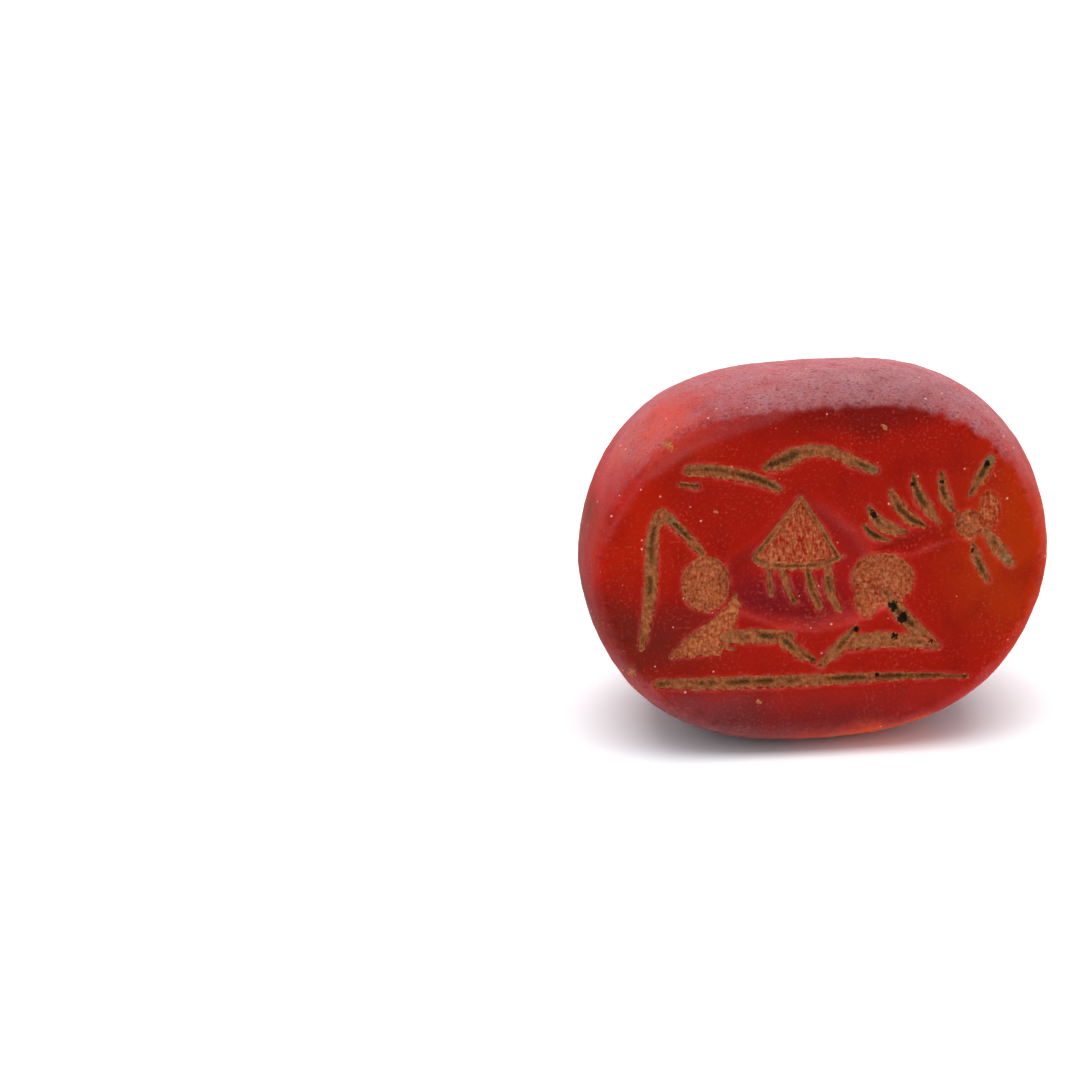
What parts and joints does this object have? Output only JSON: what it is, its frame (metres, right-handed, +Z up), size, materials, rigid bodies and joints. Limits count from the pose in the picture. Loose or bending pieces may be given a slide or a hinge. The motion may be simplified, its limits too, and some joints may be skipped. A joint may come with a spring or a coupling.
{
  "type": "stamp seal",
  "caption": "Carnelian stamp seal: a domed oval stone with a recumbent long-necked animal cut into its flat face, earth left in the cuts, and a drilled perforation that breaks out of the back.",
  "frame": {"origin": "on the surface that the seal stands on, under the middle of its box", "axes": "+Z up, +X along the seal's length to the right of the engraving, and the engraved face looks along -Y and eight degrees up"},
  "size_m": [0.02, 0.0128, 0.0159],
  "materials": {
    "stone": "worn polish, matt and pitted round the girdle, brown earth crust in the cuts"
  },
  "bodies": {
    "root": {"seal_stone": "stone"}
  },
  "joints": []
}
